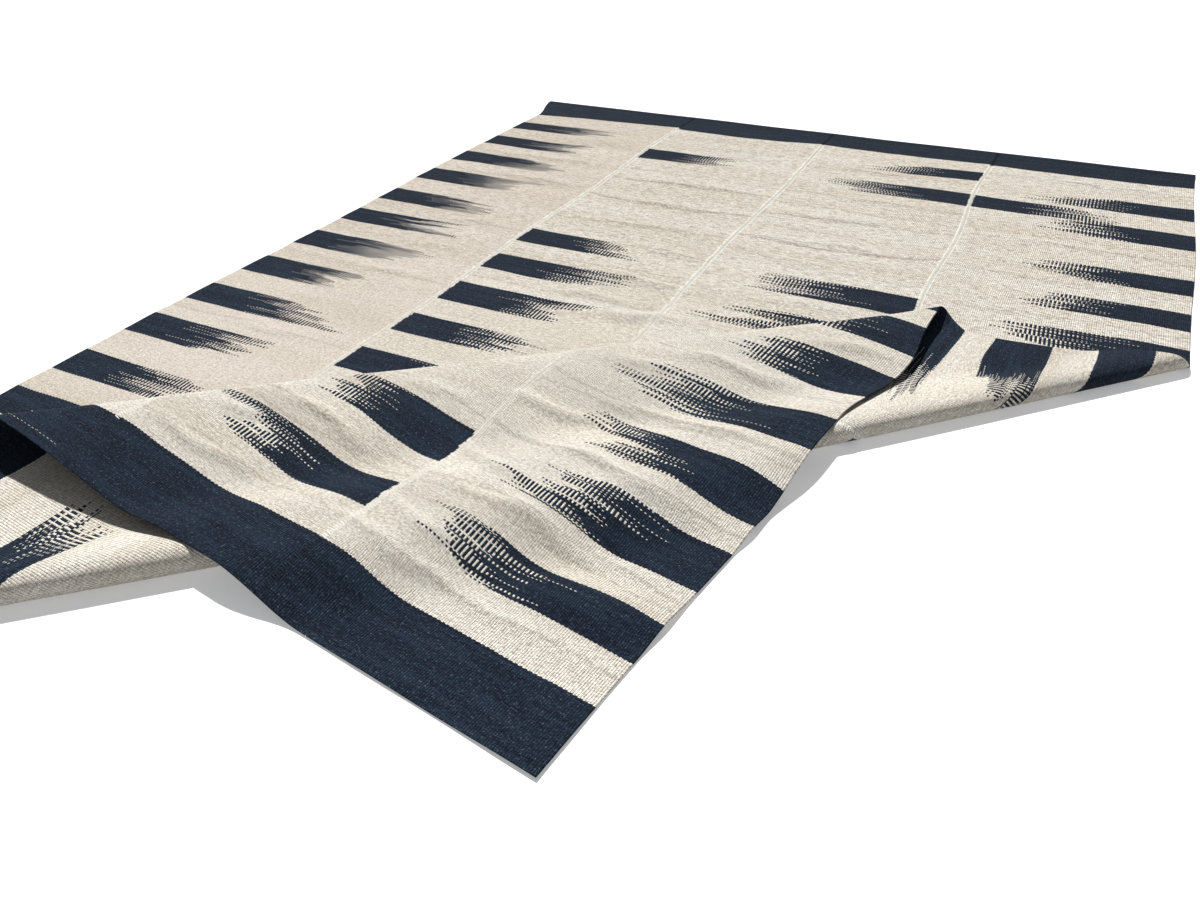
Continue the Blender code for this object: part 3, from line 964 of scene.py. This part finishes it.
def new_material(name, finish):
    """A material with this finish, its node tree and its shader."""
    material = bpy.data.materials.new(name)
    material.use_nodes = True
    shader = material.node_tree.nodes["Principled BSDF"]
    for socket, value in finish.items():
        shader.inputs[socket].default_value = value
    return material, material.node_tree, shader


def add_relief(tree, shader, height, depth, strength):
    bump = new_node(tree, "ShaderNodeBump")
    bump.inputs["Strength"].default_value = strength
    bump.inputs["Distance"].default_value = depth
    connect(height, bump.inputs["Height"])
    connect(Field(bump.outputs[0]), shader.inputs["Normal"])


def bar_shape(tree, side, width, cell):
    """1 where a navy pick of one side's nearest bar shows, and 1 anywhere in its feather."""
    pick, column_at, pick_at = cell[1:]
    middle, half, seed = parts(read_attribute(tree, f"{side}_bar_0", "Vector"))
    solid, reach, first_tip = parts(read_attribute(tree, f"{side}_bar_1", "Vector"))
    second_tip, second_share, first_width = parts(read_attribute(tree, f"{side}_bar_2", "Vector"))
    across = column_at if side == "left" else width - column_at
    place = (pick_at - middle) / half
    swap = chance(floor(pick / SWAP_PICKS), seed, 3.0) > SWAP_CHANCE
    runs_on = calc("FLOORED_MODULO", pick + swap, 2.0)
    first_draw = chance(pick, seed, 0.0)
    second_draw = chance(pick, seed, 1.0)

    first_gap = calc("ABSOLUTE", place - first_tip) / first_width
    second_gap = calc("ABSOLUTE", place - second_tip) / SECOND_TIP_WIDTH
    first_lobe = 1.0 - calc("POWER", first_gap, FIRST_LOBE_POWER)
    second_lobe = second_share * (1.0 - calc("POWER", second_gap, SECOND_LOBE_POWER))
    lobe = calc("MAXIMUM", calc("MAXIMUM", first_lobe, second_lobe), LEAST_LOBE)
    coarse, fine = (
        share * chance(floor(pick / picks), seed, 5.0 + level)
        for level, (share, picks) in enumerate(BUNDLES)
    )
    bundle = coarse + fine

    least, by_bundle, by_pick, short_chance, loss = LONG_PICKS
    long_share = least + by_bundle * bundle + by_pick * first_draw
    long_end = solid + reach * lobe * (long_share - (second_draw < short_chance) * loss)
    start, least, by_lobe, by_bundle, crowding = SHORT_PICKS
    dots_start = solid * start
    dots_end = solid + reach * (least + (by_lobe + by_bundle * bundle) * lobe)
    short_end = dots_start + (dots_end - dots_start) * calc("POWER", first_draw, crowding)
    end = short_end + (long_end - short_end) * runs_on
    within = calc("ABSOLUTE", place) < 1.0
    ground = ease((across - solid) / (reach * lobe), *FEATHER_FADE)
    return within * (across < end), within * ground


def navy_shape(tree, index, across, along, is_back):
    """1 where navy picks show, in bands and bars, and 1 in the feathers."""
    navy, feather = None, None
    for shift in (-1.0, 1.0):
        cell = weave_cell(across + shift * NAVY_SPREAD[0], along + shift * NAVY_SPREAD[1], is_back)
        shapes = [calc("MAXIMUM", cell[3] < FAR_BAND, cell[3] > FRONT_BAND)]
        for side, bars in (("left", LEFT_BARS), ("right", RIGHT_BARS)):
            if index in bars:
                shape, around = bar_shape(tree, side, STRIP_WIDTHS[index], cell)
                shapes.append(shape)
                feather = calc("MAXIMUM", feather, around) if feather else around
        for shape in shapes:
            navy = calc("MAXIMUM", navy, shape) if navy else shape
    return navy, feather


def streak_line(tree, across, along, fine, seed):
    """How strongly the nearest thin line shows: a darker skein, and painted shade along a crease.
    """
    line_at, line_half, line_strength = parts(read_attribute(tree, "streak", "Vector"))
    by_place, by_line, shift = STREAK_NOISE
    wander = noise(across * by_place, line_at * by_line, seed + shift, detail=2.0) - 0.5
    gap = calc("ABSOLUTE", along + wander * STREAK_WANDER - line_at) / (line_half * STREAK_SPREAD)
    return ease(gap, *STREAK_FADE) * line_strength * ease(fine, *STREAK_BREAKS, 1.0)


def rounded(phase, roundness):
    """The height of a round rib or bead, by the distance from its middle."""
    return calc("SQRT", calc("MAXIMUM", 1.0 - phase * phase * roundness, 0.0))


def tinted(colour, tints, places):
    for name, share, tint in tints:
        if name in places:
            colour = mix(places[name] * share, colour, tint)
    return colour


def wool_weave(index):
    """Weft-faced wool: ribs along the strip, each covered by alternate picks."""
    material, tree, shader = new_material(f"weave_{index + 1}", WOOL_FINISH)
    width = STRIP_WIDTHS[index]
    seed = 11.0 * (index + 1)
    across, along, _ = parts(read_attribute(tree, "weave", "Vector"))
    is_back = read_attribute(tree, "is_back", "Fac")
    noises = {
        name: noise(across * by_across, along * by_along, seed + shift, *form)
        for name, (by_across, by_along, shift, *form) in NOISES.items()
    }

    # The weave's cells, a little out of place, and the navy pattern in them
    column_place = across + (noises["stray"] - 0.5) * STRAY_REACH
    pick_place = along + (noises["drift"] - 0.5) * DRIFT_REACH + (noises["sway"] - 0.5) * SWAY_REACH
    column, pick = weave_cell(column_place, pick_place, is_back)[:2]
    navy, feather = navy_shape(tree, index, column_place, pick_place, is_back)
    bead_tone = chance(column, pick, seed)

    # Seam edges: the outer selvage of the first and the last strip isn't one
    edge = {0: width - across, 3: across}.get(index) or calc("MINIMUM", across, width - across)
    worn = ease(edge + (bead_tone - 0.5) * WORN_UNEVENNESS, *WORN_FADE)
    block_draw = chance(floor(pick / BOUND_PICKS), across < width / 2, seed)
    bound = edge < BOUND_DEPTH[0] + block_draw * BOUND_DEPTH[1]
    bound = bound * (along > FAR_BAND) * (along < FRONT_BAND)

    # Cream and navy wool, each tinted patch by patch
    # More mottle far off, painted shade on the far navy, painted light paler at the front
    far_mottle_and_shade = ease(along, *FAR_MOTTLE_AND_SHADE_RUN, FAR_MOTTLE_AND_SHADE_FRONT, 1.0)
    streak = streak_line(tree, across, along, noises["fine"], seed)
    places = {name: ease(noises[field], *limits) for name, (field, *limits) in PATCHES.items()}
    places |= {
        "dark cloud": places["dark cloud"] * far_mottle_and_shade,
        "pale cloud": places["pale cloud"] * far_mottle_and_shade,
        "far_mottle_and_shade": far_mottle_and_shade, "front": 1.0 - far_mottle_and_shade, "single pick": chance(pick, seed, 2.0),
        "feather": feather, "streak": streak, "bead": bead_tone,
        "worn bead": calc("POWER", bead_tone, 2.0), "worn seam": worn * far_mottle_and_shade,
    }
    if index == 0:
        places["left strip"] = 1.0
    cream = tinted(CREAM_PALE, CREAM_TINTS, places)
    blue = tinted(NAVY, NAVY_TINTS, places)
    colour = mix(navy * (1.0 - bound), cream, blue)

    # Relief: uneven round ribs, a bead where each pick crosses a warp, lumps and fuzz
    rib_phase = (column_place / WARP_PITCH - column) - 0.5
    rib = rounded(rib_phase, RIB_ROUNDNESS)
    bead_phase = (pick_place / PICK_PITCH - pick) * 0.5 + rib_phase * BEAD_LEAN
    bead = rounded(bead_phase, BEAD_ROUNDNESS)
    # Painted shade: the grooves between ribs and beads are darkened in the colour
    groove = 1.0 - ease(rib, *RIB_GROOVE) * ease(bead, *BEAD_GROOVE)
    least, filled = GROOVE_SHADE
    shade = groove * (least + filled * places["filled groove"]) * (1.0 - worn * WORN_GROOVE)
    connect(mix(shade, colour, mix(navy, PAINTED_GROOVE_SHADE, NAVY)), shader.inputs["Base Color"])
    forms = (rib, bead, bead_tone, noises["fuzz"], 1.0 - noises["grain"], streak)
    height = sum(form * share for form, share in zip(forms, RELIEF_SHARES))
    add_relief(tree, shader, height, RELIEF_DEPTH, 1.0)
    return material


def thread_material():
    """Twisted sewing wool, pale or dyed, as the strand attribute says."""
    material, tree, shader = new_material("sewing_thread", THREAD_FINISH)
    twist, around, paleness = parts(read_attribute(tree, "strand", "Vector"))
    ply = calc("SINE", (twist * PLY_TURNS + around) * 2 * pi)
    # Painted shade: the grooves between plies are darkened in the colour
    between = ease(ply, *PLY_SHADE[:2]) * PLY_SHADE[2]
    colour = mix(paleness, THREAD_DARK, THREAD)
    colour = mix(between, colour, mix(paleness, THREAD_DARK, CREAM_WARM))
    fuzz = noise(twist * THREAD_FUZZ[0], around * THREAD_FUZZ[1], paleness * THREAD_FUZZ[2])
    connect(colour, shader.inputs["Base Color"])
    add_relief(tree, shader, ply * 0.5 + fuzz * 0.5, *THREAD_RELIEF)
    return material


def stitches(name, starts, ends, lift, rise, radius, paleness, material):
    """Short threads over one face of the cloth, each from a start to an end in the flat cloth.

    lift is the height of the face that they lie on, rise how far they stand off it, with the
    sign of the side that the face looks to, and paleness 1 for undyed thread and 0 for navy.
    """
    count = len(starts)
    share = np.linspace(0.0, 1.0, STITCH_RINGS)
    around = np.arange(STITCH_SIDES) / STITCH_SIDES
    run = ends - starts
    length = np.linalg.norm(run, axis=1, keepdims=True)
    direction = run / length
    sideways = np.column_stack((-direction[:, 1], direction[:, 0]))
    arch = np.sin(pi * share) ** STITCH_ARCH
    thick = STITCH_THICKNESS[0] + STITCH_THICKNESS[1] * np.sin(pi * share)
    centre = starts[:, None, :] + run[:, None, :] * share[None, :, None]
    ring_radius = radius[:, None] * thick[None, :]
    angle = 2 * pi * around
    aside = (ring_radius[:, :, None] * np.cos(angle))[..., None]
    flat = centre[:, :, None, :] + sideways[:, None, None, :] * aside
    height = (
        lift[:, None, None]
        + (rise[:, None] * (arch[None, :] * STITCH_STAND - STITCH_SINK))[:, :, None]
        + ring_radius[:, :, None] * np.sin(angle) * STITCH_FLATNESS
    )
    flat, height = flat.reshape(-1, 2), height.ravel()
    verts = lay(flat, height)

    ring = np.arange(STITCH_SIDES)
    step = STITCH_SIDES * np.arange(STITCH_RINGS - 1)[:, None]
    here, there = step + ring, step + np.roll(ring, -1)
    side = np.stack((here, there, there + STITCH_SIDES, here + STITCH_SIDES), axis=-1)
    side = side.reshape(-1, 4)
    last = STITCH_SIDES * (STITCH_RINGS - 1)
    caps = np.array(
        [(3, 2, 1, 0), (5, 4, 3, 0), (last, last + 1, last + 2, last + 3),
         (last, last + 3, last + 4, last + 5)]
    )
    one = np.concatenate((side, caps))
    per_stitch = STITCH_SIDES * STITCH_RINGS
    faces = (one[None] + per_stitch * np.arange(count)[:, None, None]).reshape(-1, 4)
    piece = new_piece(name, verts, faces, [material])
    strand = np.broadcast_arrays(share[None, :, None], around, paleness[:, None, None])
    strand = np.stack(strand, axis=-1)
    add_attribute(piece, "strand", "POINT", strand)
    return piece


def seam_piece(number, material):
    """Overcast stitches along one seam, on the front and, where it is off the floor, the back."""
    draw = np.random.default_rng(40 + number)
    count = int(RUG_LENGTH / SEAM_PITCH) - 2
    down = SEAM_PITCH * (np.arange(count) + 1.2) + draw.normal(0.0, SEAM_SCATTER, count)
    middle = edge_across(number, down)
    reach = SEAM_REACH * draw.uniform(0.75, 1.2, (2, count))
    slant = SEAM_SLANT + draw.normal(0.0, SEAM_SCATTER, count)
    start = np.column_stack((middle - reach[0], RUG_LENGTH / 2 - down + slant))
    end = np.column_stack((middle + reach[1], RUG_LENGTH / 2 - down - slant))
    radius = THREAD_RADIUS * draw.uniform(0.85, 1.2, count)
    thickness = cloth_thickness(start[:, 1])
    rise = SEAM_RISE * draw.uniform(0.8, 1.2, count)
    in_band = (down < FAR_BAND - BAND_MARGIN) | (down > FRONT_BAND + BAND_MARGIN)
    pale = np.where(in_band, 0.0, draw.uniform(0.85, 1.0, count))
    proud = np.abs(fold(0.5 * (start + end), np.zeros(count))[:, 2]) > OFF_THE_FLOOR
    front = (start, end, thickness, rise, radius, pale)
    back = (start, end, np.zeros(count), -rise, radius, pale)
    both = [np.concatenate((one, other[proud])) for one, other in zip(front, back)]
    return stitches(f"seam_{number}_stitches", *both, material)


def hem_piece(index, material):
    """Running stitches that hold the turned ends of one strip."""
    draw = np.random.default_rng(70 + index)
    starts, ends = [], []
    for down in (HEM_LINE, RUG_LENGTH - HEM_LINE):
        left = edge_across(index, down) + HEM_INSET
        right = edge_across(index + 1, down) - HEM_INSET
        count = int((right - left) / HEM_PITCH)
        across = left + HEM_PITCH * np.arange(count) + draw.normal(0.0, HEM_SCATTER[0], count)
        y = RUG_LENGTH / 2 - down + draw.normal(0.0, HEM_SCATTER[1], (2, count))
        starts.append(np.column_stack((across, y[0])))
        ends.append(np.column_stack((across + HEM_STITCH, y[1])))
    start, end = np.concatenate(starts), np.concatenate(ends)
    count = len(start)
    lift = cloth_thickness(start[:, 1])
    rise = np.full(count, HEM_RISE)
    radius = HEM_RADIUS * draw.uniform(0.85, 1.15, count)
    pale = 0.04 * draw.random(count)
    if index == PALE_HEM_STRIP:
        pale = np.where(start[:, 1] < 0, draw.uniform(0.35, 0.75, count), pale)
    return stitches(f"hem_{index + 1}_stitches", start, end, lift, rise, radius, pale, material)


def add_floor():
    mesh = bpy.data.meshes.new("floor")
    corners = [(-1, -1), (1, -1), (1, 1), (-1, 1)]
    mesh.from_pydata(
        [(x * FLOOR_SIZE, y * FLOOR_SIZE, -FLOOR_DROP) for x, y in corners], [], [(0, 1, 2, 3)]
    )
    mesh.materials.append(new_material("pale_floor", FLOOR_FINISH)[0])
    floor_piece = link("floor", mesh)
    return floor_piece


def add_light():
    light = bpy.data.lights.new("sun", "SUN")
    light.energy = 6.3
    light.angle = radians(2.5)
    light.color = (1.0, 0.985, 0.955)
    towards = Vector((-0.38, 0.5, 0.8))
    link("sun", light).rotation_euler = towards.to_track_quat("Z", "Y").to_euler()
    world = bpy.data.worlds.new("studio")
    world.use_nodes = True
    background = world.node_tree.nodes["Background"]
    background.inputs["Color"].default_value = (0.93, 0.96, 1.0, 1.0)
    background.inputs["Strength"].default_value = 0.27
    bpy.context.scene.world = world


def add_camera():
    camera = bpy.data.cameras.new("camera")
    camera.sensor_fit = "HORIZONTAL"
    camera.sensor_width = 36.0
    camera.lens = 28.26
    viewer = link("camera", camera)
    right = Vector((0.88673, 0.46143, -0.02799))
    up = Vector((-0.24509, 0.52059, 0.81787))
    forward = Vector((-0.39196, 0.71837, -0.57472))
    turn = Matrix((right, up, -forward)).transposed().to_4x4()
    viewer.matrix_world = Matrix.Translation((0.9128, -1.8547, 1.12)) @ turn
    bpy.context.scene.camera = viewer


bpy.context.scene.view_settings.view_transform = "Standard"
add_camera()
add_light()
floor_piece = add_floor()
thread = thread_material()
seams = [seam_piece(number, thread) for number in (1, 2, 3)]
for index, width in enumerate(STRIP_WIDTHS):
    strip = strip_piece(index, wool_weave(index))
    hem = hem_piece(index, thread)
    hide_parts(f"panel_{index + 1}")
